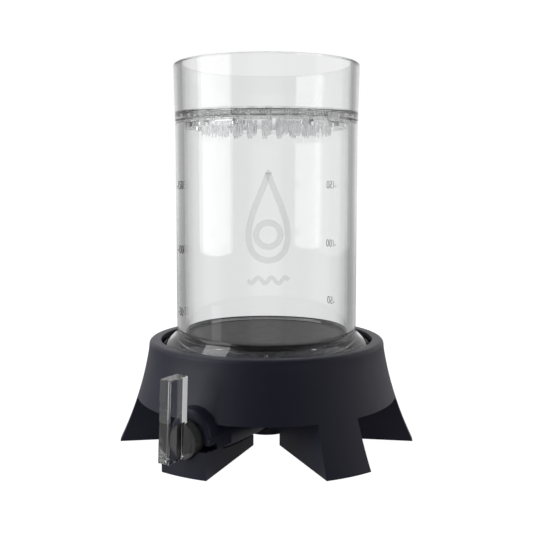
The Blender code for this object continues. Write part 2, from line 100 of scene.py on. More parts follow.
SKIRT_SLOPE = 0.148          # growth of the skirt's radius with the drop from its top
SKIRT_FLARE = 0.00497        # and with the square of the drop
SKIRT_WALL = 2.4
SKIRT_EDGE = 15.3            # height of the lower edge, between the feet
FOOT_COUNT = 6
RIB_IN = 13.0
RIB_TOP = 15.0
RIB_HALF = 0.5               # half width that the wedge ribs would have on the axis
RIB_SPREAD = 0.154           # growth of the half width with distance from the axis
LUG_COUNT = 3
LUG_Z = (26.4, 28.2)
LIP_R = 33.6                 # bore of the lip that the lugs lock under
LIP_Z = (28.6, 31.3)
TWIST = 30.0                 # from the lugs' entry slots to the locked place
SLOT_HALF = 7.2              # half width of an entry slot
VALVE_Z = in_mm(VALVE_JOINT["pos_m"][2])
BARREL_R = 7.8
BARREL_ENDS = (-9.0, 37.2)
BORE_R = 4.95                # bore of the barrel
PLUG_R = 4.6                 # the spindle in it
PORT_R = 2.6                 # drain port down through both
COLLAR_R = 8.4
COLLAR_RISE = 0.5            # centre of the collar's arch, above the valve's axis
COLLAR_FACE = 48.0
COLLAR_EASE = 1.2            # rounding of the collar's outer edge
GROOVE_Z = (8.4, 10.0)       # groove between the collar and the block under it
BLOCK = (44.0, 50.15)
BLOCK_Z = (0.0, 9.2)
KNOB_R = 5.8
KNOB = (47.2, 51.7)
SLOT_FLOOR = 48.4            # floor of the knob's slot
LEVER = (49.7, 58.0)
LEVER_HALF = 2.05            # half thickness
LEVER_ASIDE = -0.8           # how far its middle is to the right of the valve's axis
LEVER_LEAN = 2.5             # tilt of its top to the right
LEVER_Z = (5.9, 31.0)
TONGUE = (48.7, 4.9)         # inner end and half height of the lever's part in the slot
SCREW_ANGLES = (30.0, 150.0, 270.0)
SCREW_AT = 22.0              # radius of the screws' circle
SCREW_HOLE_R = 1.5
COUNTERBORE_R = 2.9
COUNTERBORE_TOP = 8.2
GAP = 0.3                    # clearance between neighbours
OUTSIDE = 62.0               # beyond the whole object, for the ends of cutters

FINE = 192               # facets of large turned pieces
SMALL = 96               # facets of small turned pieces
ROD_TURN = 5.3           # degrees; keeps rod facets off the planes of other shapes


def skirt_radius(z):
    """Outer radius of the flared skirt and feet at height z."""
    top_r, top_z = SKIRT_TOP
    drop = top_z - z
    return top_r + SKIRT_SLOPE * drop + SKIRT_FLARE * drop * drop


def rib_half_width(radius):
    """Half the width of a wedge rib at a distance from the axis."""
    return RIB_HALF + RIB_SPREAD * radius


def steps_between(first, last, count):
    """Evenly spaced numbers from first to last, both included."""
    return [first + (last - first) * k / (count - 1) for k in range(count)]


# ---------------------------------------------------------------- materials
def new_material(name, colour, roughness, **sockets):
    """A Principled material; uniform values sit on the shader's own sockets."""
    material = bpy.data.materials.new(name)
    material.use_nodes = True
    shader = material.node_tree.nodes["Principled BSDF"]
    shader.inputs["Base Color"].default_value = (*colour, 1.0)
    shader.inputs["Roughness"].default_value = roughness
    for socket, value in sockets.items():
        shader.inputs[socket.replace("_", " ").title().replace("Ior", "IOR")].default_value = value
    return material, material.node_tree, shader


def noise(tree, scale, detail=2.0, stretch=(1.0, 1.0, 1.0)):
    """Noise over object coordinates; scale is in features per metre."""
    place = tree.nodes.new("ShaderNodeTexCoord")
    mapping = tree.nodes.new("ShaderNodeMapping")
    mapping.inputs["Scale"].default_value = stretch
    texture = tree.nodes.new("ShaderNodeTexNoise")
    texture.inputs["Scale"].default_value = scale
    texture.inputs["Detail"].default_value = detail
    tree.links.new(place.outputs["Object"], mapping.inputs["Vector"])
    tree.links.new(mapping.outputs["Vector"], texture.inputs["Vector"])
    return texture.outputs["Fac"]


def spread(tree, source, low, high):
    """Map a 0 to 1 value to the range from low to high."""
    ranger = tree.nodes.new("ShaderNodeMapRange")
    ranger.inputs["To Min"].default_value = low
    ranger.inputs["To Max"].default_value = high
    tree.links.new(source, ranger.inputs["Value"])
    return ranger.outputs["Result"]


def tint(tree, source, first, second):
    """Blend two colours by a 0 to 1 value."""
    ramp = tree.nodes.new("ShaderNodeValToRGB")
    ramp.color_ramp.elements[0].color = (*first, 1.0)
    ramp.color_ramp.elements[0].position = 0.3
    ramp.color_ramp.elements[1].color = (*second, 1.0)
    ramp.color_ramp.elements[1].position = 0.7
    tree.links.new(source, ramp.inputs["Fac"])
    return ramp.outputs["Color"]


def bump(tree, shader, height, strength, depth):
    """Raise the surface by a 0 to 1 value; depth is in metres."""
    node = tree.nodes.new("ShaderNodeBump")
    node.inputs["Strength"].default_value = strength
    node.inputs["Distance"].default_value = depth
    tree.links.new(height, node.inputs["Height"])
    tree.links.new(node.outputs["Normal"], shader.inputs["Normal"])


def moulded_plastic(name, dark, light, roughness, grain=2600.0, strength=0.12):
    """Fine-grained moulded plastic with a slightly uneven sheen."""
    material, tree, shader = new_material(name, dark, sum(roughness) / 2, specular_ior_level=0.4)
    cloud = noise(tree, 90.0, detail=4.0)
    tree.links.new(tint(tree, cloud, dark, light), shader.inputs["Base Color"])
    tree.links.new(spread(tree, noise(tree, 260.0, detail=5.0), *roughness), shader.inputs["Roughness"])
    bump(tree, shader, noise(tree, grain, detail=3.0), strength, 0.00002)
    return material


def clear_plastic():
    """Polished clear copolyester, with faint handling marks in its gloss."""
    material, tree, shader = new_material("clear_copolyester", (0.975, 0.978, 0.98), 0.02,
                                          transmission_weight=1.0, ior=1.52)
    scuffs = noise(tree, 420.0, detail=6.0, stretch=(1.0, 1.0, 0.25))
    tree.links.new(spread(tree, scuffs, 0.008, 0.03), shader.inputs["Roughness"])
    depth = tree.nodes.new("ShaderNodeVolumeAbsorption")
    depth.inputs["Color"].default_value = (0.8, 0.8, 0.8, 1.0)
    depth.inputs["Density"].default_value = 40.0
    tree.links.new(depth.outputs["Volume"], tree.nodes["Material Output"].inputs["Volume"])
    return material


def turned_plastic():
    """Satin acetal with the faint rings of a lathe round local Z."""
    material, tree, shader = new_material("dark_acetal", (0.065, 0.065, 0.066), 0.18)
    place = tree.nodes.new("ShaderNodeTexCoord")
    rings = tree.nodes.new("ShaderNodeTexWave")
    rings.wave_type = "RINGS"
    rings.rings_direction = "Z"
    rings.inputs["Scale"].default_value = 900.0
    rings.inputs["Distortion"].default_value = 0.6
    tree.links.new(place.outputs["Object"], rings.inputs["Vector"])
    bump(tree, shader, rings.outputs["Fac"], 0.12, 0.00001)
    tree.links.new(spread(tree, noise(tree, 500.0, detail=4.0), 0.14, 0.22), shader.inputs["Roughness"])
    tree.links.new(tint(tree, noise(tree, 150.0), (0.06, 0.06, 0.061), (0.07, 0.07, 0.071)),
                   shader.inputs["Base Color"])
    return material


def woven_steel():
    """Plain-woven stainless cloth: crossed wave patterns for the wires, dark painted shade in the holes."""
    material, tree, shader = new_material("stainless_mesh", (0.068, 0.068, 0.066), 0.5, metallic=0.85,
                                          specular_tint=(0.7, 0.7, 0.7, 1.0))
    place = tree.nodes.new("ShaderNodeTexCoord")
    wires = []
    for direction in ("X", "Y"):
        wave = tree.nodes.new("ShaderNodeTexWave")
        wave.bands_direction = direction
        wave.inputs["Scale"].default_value = 640.0
        wave.inputs["Distortion"].default_value = 0.0
        tree.links.new(place.outputs["Object"], wave.inputs["Vector"])
        wires.append(wave.outputs["Fac"])
    wires_and_shaded_holes = tree.nodes.new("ShaderNodeMath")
    wires_and_shaded_holes.operation = "MAXIMUM"
    tree.links.new(wires[0], wires_and_shaded_holes.inputs[0])
    tree.links.new(wires[1], wires_and_shaded_holes.inputs[1])
    # Near-black where both waves are low: painted shade in the holes, for the dark space under the screen.
    tree.links.new(tint(tree, wires_and_shaded_holes.outputs["Value"], (0.007, 0.007, 0.007), (0.068, 0.068, 0.066)),
                   shader.inputs["Base Color"])
    tree.links.new(spread(tree, noise(tree, 300.0), 0.42, 0.58), shader.inputs["Roughness"])
    bump(tree, shader, wires_and_shaded_holes.outputs["Value"], 0.5, 0.00008)
    return material


def brushed_steel():
    """Stainless steel with fine streaks along local Z."""
    material, tree, shader = new_material("stainless_steel", (0.55, 0.55, 0.54), 0.3, metallic=1.0)
    streaks = noise(tree, 700.0, detail=4.0, stretch=(1.0, 1.0, 0.08))
    tree.links.new(spread(tree, streaks, 0.22, 0.42), shader.inputs["Roughness"])
    tree.links.new(tint(tree, streaks, (0.48, 0.48, 0.47), (0.62, 0.62, 0.61)), shader.inputs["Base Color"])
    bump(tree, shader, streaks, 0.1, 0.00001)
    return material


def printed_ink(name, colour, cover):
    """Pad-printed ink, a little uneven; cover is how much it hides of what is behind it."""
    material, tree, shader = new_material(name, colour, 0.5, alpha=cover)
    patches = noise(tree, 1800.0, detail=3.0)
    lighter = tuple(min(1.0, channel * 1.3 + 0.01) for channel in colour)
    tree.links.new(tint(tree, patches, colour, lighter), shader.inputs["Base Color"])
    tree.links.new(spread(tree, patches, 0.4, 0.6), shader.inputs["Roughness"])
    return material


BLACK = moulded_plastic("black_plastic", (0.012, 0.012, 0.03), (0.015, 0.015, 0.036), (0.4, 0.48))
RUBBER = moulded_plastic("black_silicone", (0.015, 0.015, 0.015), (0.022, 0.022, 0.022), (0.55, 0.7),
                         grain=1500.0, strength=0.2)
DARK = turned_plastic()
CLEAR = clear_plastic()
SCREEN = woven_steel()
STEEL = brushed_steel()
INK = printed_ink("dark_ink", (0.035, 0.035, 0.035), 0.9)
FROST = printed_ink("frosted_print", (0.42, 0.42, 0.42), 0.1)


# ---------------------------------------------------------------- mesh tools
def new_object(name, data):
    """An object in the scene that holds a mesh, curve, light or camera."""
    made = bpy.data.objects.new(name, data)
    bpy.context.scene.collection.objects.link(made)
    return made


def rounded(corners, closed, segments=5):
    """Outline points from corners (radius, height, fillet); a fillet becomes an arc."""
    points = []
    last = len(corners) - 1
    for index, corner in enumerate(corners):
        here = Vector(corner[:2])
        fillet = corner[2] if len(corner) > 2 else 0.0
        if not fillet or (not closed and index in (0, last)):
            points.append(tuple(here))
            continue
        before = (Vector(corners[index - 1][:2]) - here).normalized()
        after = (Vector(corners[(index + 1) % len(corners)][:2]) - here).normalized()
        half = before.angle(after) / 2.0
        centre = here + (before + after).normalized() * (fillet / math.sin(half))
        start = here + before * (fillet / math.tan(half)) - centre
        end = here + after * (fillet / math.tan(half)) - centre
        for k in range(segments + 1):
            points.append(tuple(centre + start.slerp(end, k / segments).normalized() * fillet))
    return points


def turned(corners, steps=FINE, closed=True, segments=5):
    """The mesh of an outline turned about local Z; it runs down its outer side."""
    shape = bmesh.new()
    outline = rounded(corners, closed, segments)
    verts = [shape.verts.new((mm(r), 0.0, mm(z))) for r, z in outline]
    for a, b in zip(verts, verts[1:]):
        shape.edges.new((a, b))
    if closed:
        shape.edges.new((verts[-1], verts[0]))
    bmesh.ops.spin(shape, geom=shape.verts[:] + shape.edges[:], axis=(0.0, 0.0, 1.0), cent=(0.0, 0.0, 0.0),
                   angle=2.0 * math.pi, steps=steps, use_merge=True)
    bmesh.ops.remove_doubles(shape, verts=shape.verts[:], dist=1e-6)
    bmesh.ops.recalc_face_normals(shape, faces=shape.faces[:])
    return finished_mesh(shape)


def finished_mesh(shape):
    """The mesh of a bmesh, which is freed."""
    mesh = bpy.data.meshes.new("shape")
    shape.to_mesh(mesh)
    shape.free()
    return mesh


def turn_verts(verts, angle):
    """Turn vertices about Z by degrees."""
    turn = Matrix.Rotation(math.radians(angle), 3, "Z")
    for vert in verts:
        vert.co = turn @ vert.co


def boxes(items):
    """One mesh of boxes, each (low corner, high corner, turn about Z in degrees)."""
    shape = bmesh.new()
    for low, high, angle in items:
        made = bmesh.ops.create_cube(shape, size=1.0)["verts"]
        for vert in made:
            for axis in range(3):
                vert.co[axis] = mm(high[axis] if vert.co[axis] > 0 else low[axis])
        turn_verts(made, angle)
    return finished_mesh(shape)


def rods(places, radius, low, high, sides=32, tip_radius=None):
    """One mesh of upright rods; tip_radius is the radius at the low end."""
    shape = bmesh.new()
    lower = radius if tip_radius is None else tip_radius
    for x, y in places:
        made = bmesh.ops.create_cone(shape, cap_ends=True, segments=sides, radius1=mm(lower),
                                     radius2=mm(radius), depth=mm(high - low))["verts"]
        turn_verts(made, ROD_TURN)
        bmesh.ops.translate(shape, verts=made, vec=(mm(x), mm(y), mm((low + high) / 2)))
    return finished_mesh(shape)


def prism(outlines, low, high, ease=0.0):
    """One mesh of flat outlines (x, y) raised from z low to z high; ease rounds the high edge."""
    shape = bmesh.new()
    for outline in outlines:
        face = shape.faces.new([shape.verts.new((mm(x), mm(y), mm(low))) for x, y in outline])
        swept = bmesh.ops.extrude_face_region(shape, geom=[face])["geom"]
        for item in swept:
            if isinstance(item, bmesh.types.BMVert):
                item.co.z = mm(high)
    if ease:
        halfway = mm((low + high) / 2.0)
        rim = [edge for edge in shape.edges if min(vert.co.z for vert in edge.verts) > halfway]
        bmesh.ops.bevel(shape, geom=rim, offset=mm(ease), segments=6, profile=0.5, affect="EDGES")
    bmesh.ops.recalc_face_normals(shape, faces=shape.faces[:])
    return finished_mesh(shape)


def arch(radius, centre, leg_end, sides=48):
    """Outline of a half round about height centre, with straight legs to leg_end."""
    bulge = radius if leg_end < centre else -radius
    turns = steps_between(0.0, math.pi, sides + 1)
    outline = [(radius * math.cos(t), centre + bulge * math.sin(t)) for t in turns]
    return outline + [(-radius, leg_end), (radius, leg_end)]


def combine(mesh, tool, operation="DIFFERENCE", place=None):
    """The mesh cut by, or joined with, a tool mesh; place moves the tool into the mesh's frame."""
    body = new_object("body", mesh)
    cutter = new_object("cutter", tool)
    if place:
        cutter.matrix_world = place
    cut = body.modifiers.new("cut", "BOOLEAN")
    cut.operation = operation
    cut.object = cutter
    cut.solver = "EXACT"
    graph = bpy.context.evaluated_depsgraph_get()
    result = bpy.data.meshes.new_from_object(body.evaluated_get(graph))
    bpy.data.objects.remove(body)
    bpy.data.objects.remove(cutter)
    return result


def show(name, mesh, place, body, material, stands_for=(), ease=0.0, ease_angle=40.0, segments=2):
    """Put a finished mesh in the scene as a piece that rides on a CAD body."""
    mesh.name = name
    mesh.materials.clear()
    mesh.materials.append(material)
    piece = new_object(name, mesh)
    piece.matrix_world = place
    mesh.shade_smooth()
    mesh.set_sharp_from_angle(angle=math.radians(ease_angle))
    if ease:
        soften = piece.modifiers.new("eased edges", "BEVEL")
        soften.width = mm(ease)
        soften.segments = segments
        soften.limit_method = "ANGLE"
        soften.angle_limit = math.radians(ease_angle)
        soften.miter_outer = "MITER_ARC"
        soften.harden_normals = False
    even = piece.modifiers.new("even normals", "WEIGHTED_NORMAL")
    even.keep_sharp = True
    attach(piece, body)
    if stands_for:
        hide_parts(*stands_for)
    return piece


# ---------------------------------------------------------------- base
def beside_rib(angle, radius, side):
    """The plan point on one side face of the rib at an angle, at a distance from the axis."""
    a = math.radians(angle)
    half = side * rib_half_width(radius)
    return (radius * math.sin(a) + half * math.cos(a), -radius * math.cos(a) + half * math.sin(a))


def foot_gaps():
    """The gaps between the ribs, from below the ground up to the skirt's edge."""
    pitch = 360.0 / FOOT_COUNT
    start = RIB_IN - 1.0
    plans = []
    for k in range(FOOT_COUNT):
        left, right = pitch * (k - 0.5), pitch * (k + 0.5)
        plans.append([beside_rib(left, start, 1), beside_rib(left, OUTSIDE, 1),
                      beside_rib(right, OUTSIDE, -1), beside_rib(right, start, -1)])
    return prism(plans, -1.0, SKIRT_EDGE)


def rib_blanks():
    """Prisms a little wider than the finished ribs, from near the axis into the skirt."""
    shape = bmesh.new()
    spare = 1.0
    for k in range(FOOT_COUNT):
        made = bmesh.ops.create_cube(shape, size=1.0)["verts"]
        for vert in made:
            z = RIB_TOP if vert.co.z > 0 else 0.0
            radius = skirt_radius(z) - SKIRT_WALL / 2.0 if vert.co.y < 0 else RIB_IN
            half = rib_half_width(radius) + spare
            vert.co = Vector((mm(half if vert.co.x > 0 else -half), mm(-radius), mm(z)))
        turn_verts(made, 360.0 / FOOT_COUNT * (k + 0.5))
    return finished_mesh(shape)


def screw_places():
    """Plan places of the three screws."""
    turns = [math.radians(angle) for angle in SCREW_ANGLES]
    return [(SCREW_AT * math.sin(a), -SCREW_AT * math.cos(a)) for a in turns]


def bayonet_boxes():
    """Entry slots through the lip, and stops under it at the locked end."""
    slot_low = (-SLOT_HALF, -RIM_R_IN - 1.2, LIP_Z[0] - 1.6)
    slot_high = (SLOT_HALF, -LIP_R + 2.0, LIP_Z[1] + 1.7)
    slots, stops = [], []
    for k in range(LUG_COUNT):
        angle = 360.0 / LUG_COUNT * k
        slots.append((slot_low, slot_high, angle + TWIST))
        stops.append(((-8.4, -39.2, LUG_Z[0]), (-7.0, -LIP_R - GAP, LIP_Z[0] + 0.6), angle))
    return boxes(slots), boxes(stops)


def collar_block():
    """The block under the valve collar: a stretch of a ring, flush with the foot."""
    near, far = BLOCK
    foot, top = BLOCK_Z
    block = turned([(near, top), (far, top), (far, foot), (near, foot)])
    sector = boxes([((-COLLAR_R, -OUTSIDE, -1.0), (COLLAR_R, -RIM_R_IN, 12.0), VALVE_ANGLE)])
    return combine(block, sector, "INTERSECT")


def make_footed_base():
    """Rim, flared skirt, six wedge ribs that end in feet, bayonet lip and valve collar."""
    top_r, top_z = SKIRT_TOP
    outer = [(skirt_radius(z), z) for z in steps_between(top_z, 0.0, 23)[1:]]
    inner = [(skirt_radius(z) - SKIRT_WALL, z) for z in steps_between(0.0, LIP_Z[0], 16)]
    corners = [(top_r, RIM_TOP, RIM_TOP - top_z)] + outer + inner
    corners += [(LIP_R, LIP_Z[0], 0.2), (LIP_R, LIP_Z[1], 0.3), (RIM_R_IN, LIP_Z[1], 0.2),
                (RIM_R_IN, RIM_TOP, 0.35)]
    shell = turned(corners)
    shell = combine(shell, rib_blanks(), "UNION")
    shell = combine(shell, collar_block(), "UNION")
    shell = combine(shell, foot_gaps())
    cradle_end = BARREL_ENDS[1] + GAP
    groove_low, groove_high = GROOVE_Z[0] - VALVE_Z, GROOVE_Z[1] - VALVE_Z
    to_valve = BREWER.inverted() @ VALVE
    collar_outline = arch(COLLAR_R, COLLAR_RISE, groove_low - 0.3)
    collar = prism([collar_outline], cradle_end - 1.5, COLLAR_FACE, COLLAR_EASE)
    shell = combine(shell, collar, "UNION", to_valve)
    groove_half = COLLAR_R + 0.4
    groove = boxes([((-groove_half, groove_low, 44.0), (groove_half, groove_high, OUTSIDE), 0.0)])
    shell = combine(shell, groove, place=to_valve)
    shell = combine(shell, prism([arch(BARREL_R + GAP, 0.0, 10.0)], 9.0, cradle_end), place=to_valve)
    hole = turned([(0.0, OUTSIDE), (BORE_R, OUTSIDE), (BORE_R, 30.0), (0.0, 30.0)], SMALL, closed=False)
    shell = combine(shell, hole, place=to_valve)
    pocket_r, pocket_floor = KNOB_R + GAP, KNOB[0] - GAP
    pocket = turned([(0.0, OUTSIDE), (pocket_r, OUTSIDE), (pocket_r, pocket_floor), (0.0, pocket_floor)],
                    SMALL, closed=False)
    shell = combine(shell, pocket, place=to_valve)
    slots, stops = bayonet_boxes()
    shell = combine(shell, slots)
    shell = combine(shell, stops, "UNION")
    shell = combine(shell, rods(screw_places(), SCREW_HOLE_R, 4.0, 20.0))
    shell = combine(shell, rods(screw_places(), COUNTERBORE_R, -1.0, COUNTERBORE_TOP))
    show("footed_base", shell, BREWER, "base", BLACK, ["base_shell"], ease=0.3, segments=3)


def make_funnel():
    """Bowl that plugs the tube's foot, with the valve barrel across it and three screw posts."""
    plug_r = TUBE_BORE - 0.4
    shoulder_r, shoulder_z = TUBE_R + 0.1, TUBE_FOOT - GAP
    corners = [(0.0, 19.7), (24.3, 31.5), (24.3, 33.3, 0.3), (plug_r, 33.3, 0.4), (plug_r, shoulder_z),
               (shoulder_r, shoulder_z, 0.2), (shoulder_r, 28.6, 0.3), (26.2, 28.6, 1.0), (8.0, 19.5, 1.5),
               (8.0, VALVE_Z + 1.0), (0.0, VALVE_Z + 1.0)]
    funnel = turned(corners, closed=False)
    to_valve = BREWER.inverted() @ VALVE
    inner, outer = BARREL_ENDS
    barrel = turned([(0.0, outer), (BARREL_R, outer, 0.4), (BARREL_R, inner, 0.4), (0.0, inner)], SMALL,
                    closed=False)
    funnel = combine(funnel, barrel, "UNION", to_valve)
    post_r, post_top = 3.0, 28.9
    funnel = combine(funnel, rods(screw_places(), post_r, RIB_TOP + GAP, post_top), "UNION")
    funnel = combine(funnel, rods(screw_places(), SCREW_HOLE_R, 10.0, 24.0))
    bore = turned([(0.0, outer + 2.0), (BORE_R, outer + 2.0), (BORE_R, inner - 2.0), (0.0, inner - 2.0)],
                  SMALL, closed=False)
    funnel = combine(funnel, bore, place=to_valve)
    funnel = combine(funnel, rods([(0.0, 0.0)], PORT_R, 0.0, 24.0, 48))
    show("funnel_with_valve_barrel", funnel, BREWER, "base", BLACK, ["drain_funnel"],
         ease=0.15)


def make_spout():
    """Stepped drain nozzle, saddled to the underside of the barrel."""
    corners = [(3.4, 9.0), (9.0, 9.0, 0.2), (9.0, 6.3, 0.2), (8.6, 6.1, 0.1), (8.6, 4.4, 0.2),
               (8.2, 4.2, 0.1), (8.2, 2.3, 0.2), (7.7, 2.0, 0.2), (3.4, 2.0, 0.3)]
    spout = turned(corners, SMALL)
    reach = 14.0
    saddle_r = BARREL_R + GAP
    saddle = turned([(0.0, reach), (saddle_r, reach), (saddle_r, -reach), (0.0, -reach)], SMALL, closed=False)
    spout = combine(spout, saddle, place=BREWER.inverted() @ VALVE)
    show("stepped_spout", spout, BREWER, "base", BLACK, ["outlet_spout"], ease=0.12)


def make_screen():
    """Woven screen with a pressed border."""
    low, high = in_mm(SCREEN_LOW.z), in_mm(SCREEN_HIGH.z)
    edge = in_mm((SCREEN_HIGH.x - SCREEN_LOW.x) / 2.0)
    dip = 0.06
    corners = [(0.0, high - dip), (edge - 1.6, high - dip), (edge - 1.2, high, 0.1), (edge, high, 0.12),
               (edge, low, 0.12), (edge - 1.2, low, 0.1), (edge - 1.6, low + dip), (0.0, low + dip)]
    show("woven_screen", turned(corners, closed=False, segments=3), BREWER, "base", SCREEN,
         ["filter_mesh"])


def make_gasket():
    """Seal between the tube's bore and the screen."""
    seal = [(26.5, 36.3, 0.1), (27.4, 36.3, 0.35), (27.4, 33.6, 0.2), (26.5, 33.6, 0.1)]
    show("screen_gasket", turned(seal), BREWER, "base", RUBBER, ["filter_gasket"])


def make_screws():
    """Pan-head screws with hex sockets."""
    top = COUNTERBORE_TOP - GAP
    for number, (x, y) in enumerate(screw_places(), start=1):
        corners = [(0.0, 23.6), (0.8, 23.6), (1.2, 22.8), (1.2, top), (2.5, top, 0.1), (2.5, top - 1.3, 0.5),
                   (1.9, top - 1.9, 0.3), (0.0, top - 1.9)]
        place = BREWER @ Matrix.Translation((mm(x), mm(y), 0.0))
        screw = turned(corners, 64, closed=False)
        screw = combine(screw, rods([(0.0, 0.0)], 1.1, 0.0, top - 0.9, 6))
        show(f"cap_screw_{number}", screw, place, "base", STEEL, [f"base_screw_{number}"],
             ease=0.05)


# ---------------------------------------------------------------- clear chamber and its print
def make_brew_tube():
    """Tube, sloping foot flange and bayonet ring with its lugs."""
    ring_out, ring_in = 33.2, 30.9
    corners = [(TUBE_R, TUBE_TOP, 0.4), (TUBE_R, 36.9, 1.8), (FLANGE_R, 32.6, 0.3),
               (FLANGE_R, TUBE_FOOT, 0.1), (ring_out, 33.0, 0.2), (ring_out, LUG_Z[0], 0.3),
               (ring_in, LUG_Z[0], 0.3), (ring_in, TUBE_FOOT, 0.2), (TUBE_BORE, 33.6, 0.3),
               (TUBE_BORE, TUBE_TOP, 0.3)]
    tube = turned(corners)
    lugs = [((-6.0, -36.5, LUG_Z[0] + 0.1), (6.0, -32.4, LUG_Z[1]), 360.0 / LUG_COUNT * k)
            for k in range(LUG_COUNT)]
    tube = combine(tube, boxes(lugs), "UNION")
    show("clear_brew_tube", tube, BREWER, "chamber", CLEAR, ["brew_chamber"])


def make_alignment_pip():
    """Small raised dot on the slope of the flange, at the front."""
    pip = turned([(0.0, 0.35), (0.45, 0.3), (0.7, 0.0), (0.0, -0.2)], 24, closed=False)
    lean = Matrix.Rotation(math.radians(42.0), 4, "X")
    place = BREWER @ Matrix.Translation((0.0, mm(-33.4), mm(34.3))) @ lean
    show("alignment_pip", pip, place, "chamber", CLEAR)


def wrap_on_tube(mesh, angle, height, lift=0.03):
    """Bend a flat mesh (x across, y up, z out) round the tube, its middle at an angle and height."""
    radius = mm(TUBE_R + lift)
    for vert in mesh.vertices:
        turn = math.radians(angle) + vert.co.x / radius
        reach = radius + vert.co.z
        vert.co = (reach * math.sin(turn), -reach * math.cos(turn), mm(height) + vert.co.y)


def figures(text, height):
    """A thin flat mesh of figures in Blender's own font, centred on the origin."""
    curve = bpy.data.curves.new("figures", "FONT")
    curve.body = text
    curve.extrude = 0.005
    holder = new_object("figures", curve)
    graph = bpy.context.evaluated_depsgraph_get()
    mesh = bpy.data.meshes.new_from_object(holder.evaluated_get(graph))
    bpy.data.objects.remove(holder)
    across = [vert.co.x for vert in mesh.vertices]
    up = [vert.co.y for vert in mesh.vertices]
    scale = mm(height) / (max(up) - min(up))
    middle = Vector(((max(across) + min(across)) / 2, (max(up) + min(up)) / 2, 0.0))
    for vert in mesh.vertices:
        vert.co = (vert.co - middle) * scale
    return mesh


def ribbon(points, width, loop):
    """A thin flat strip that follows points, three quads wide so that it bends well."""
    shape = bmesh.new()
    rows = []
    count = len(points)
    for index, here in enumerate(points):
        after = points[(index + 1) % count] if loop or index < count - 1 else here
        before = points[index - 1] if loop or index > 0 else here
        along = (Vector(after) - Vector(before)).normalized()
        side = Vector((-along.y, along.x)) * width / 2.0
        edge = [Vector(here) + side * share for share in (-1.0, -0.33, 0.33, 1.0)]
        rows.append([shape.verts.new((mm(p.x), mm(p.y), 0.0)) for p in edge])
    for first, second in zip(rows, rows[1:] + ([rows[0]] if loop else [])):
        for k in range(3):
            shape.faces.new((first[k], first[k + 1], second[k + 1], second[k]))
    bmesh.ops.recalc_face_normals(shape, faces=shape.faces[:])
    bmesh.ops.solidify(shape, geom=shape.faces[:], thickness=mm(0.03))
    return finished_mesh(shape)


def make_volume_marks():
    """The tube's volume marks in millilitres, in two columns."""
    marks = (("150", 86.5), ("100", 65.6), ("50", 45.0))
    for side, angle in (("left", -68.0), ("back", 122.8)):
        for text, height in marks:
            mesh = figures("-" + text, 2.7)
            wrap_on_tube(mesh, angle, height)
            show(f"volume_mark_{text}_{side}", mesh, BREWER, "chamber", INK)


def make_emblem():
    """A plain water drop with a ring in it and a wave under it."""
    angle, line = 1.0, 1.9
    turns = [2.0 * math.pi * k / 96 for k in range(96)]
    drop = [(7.0 * math.sin(t) * math.sin(t / 2.0) ** 1.6 * 1.25, 13.4 * math.cos(t)) for t in turns]
    emblem = ribbon(drop, line, loop=True)
    wrap_on_tube(emblem, angle, 77.0)
    show("drop_emblem", emblem, BREWER, "chamber", FROST)
    ring_r = 3.7
    ring = ribbon([(ring_r * math.cos(t), ring_r * math.sin(t)) for t in turns], line, loop=True)
    wrap_on_tube(ring, angle, 71.5)
    show("drop_emblem_ring", ring, BREWER, "chamber", FROST)
    wave_half, wave_height, wave_length = 6.3, 0.9, 4.2
    across = steps_between(-wave_half, wave_half, 61)
    crests = [(x, wave_height * math.sin(2.0 * math.pi * x / wave_length)) for x in across]
    wave = ribbon(crests, 1.3, loop=False)
    wrap_on_tube(wave, angle, 57.5)
    show("wave_emblem", wave, BREWER, "chamber", FROST)


# ---------------------------------------------------------------- spreader cap
def nozzle_places():
    """Plan places of the nozzles; lead turns each ring by a share of its pitch."""
    lead = 0.12
    return [(ring * math.sin(2.0 * math.pi * (k + lead) / count),
             -ring * math.cos(2.0 * math.pi * (k + lead) / count))
            for ring, count in NOZZLE_RINGS for k in range(count)]


def make_spreader_cap():
    """Cup with a floor of drip nozzles and a ring of locating tabs under it."""
    low, floor = CAP_FLOOR
    tab_low, tab_out, tab_in = 105.0, TUBE_BORE - GAP, 25.0
    seat = low + SEAT_RISE
    wall_r = 30.65
    corners = [(0.0, floor), (28.15, floor, 1.4), (28.25, CAP_TOP, 0.6), (30.95, CAP_TOP, 0.6),
               (wall_r, 111.0), (wall_r, seat, 0.4), (tab_out, seat, 0.3), (tab_out, tab_low, 0.1),
               (tab_in, tab_low, 0.1), (tab_in, low, 0.5), (0.0, low)]
    cap = turned(corners, closed=False)
    tab_count, first_notch, notch_half = 16, 4.5, 1.7
    notch_low = (-notch_half, -tab_out - 1.5, tab_low - 1.0)
    notch_high = (notch_half, -tab_in + 1.5, low - 0.05)
    notches = [(notch_low, notch_high, 360.0 / tab_count * k + first_notch) for k in range(tab_count)]
    cap = combine(cap, boxes(notches))
    nozzles = rods(nozzle_places(), NOZZLE_R, NOZZLE_TIP, low + 0.6, 20, NOZZLE_TIP_R)
    cap = combine(cap, nozzles, "UNION")
    bore_top, bore_tip = NOZZLE_BORE
    cap = combine(cap, rods(nozzle_places(), bore_top, NOZZLE_TIP - 1.0, floor + 1.0, 16, bore_tip))
    show("spreader_cap", cap, BREWER, "cap", CLEAR, ["dispersion_cap"], ease=0.12)


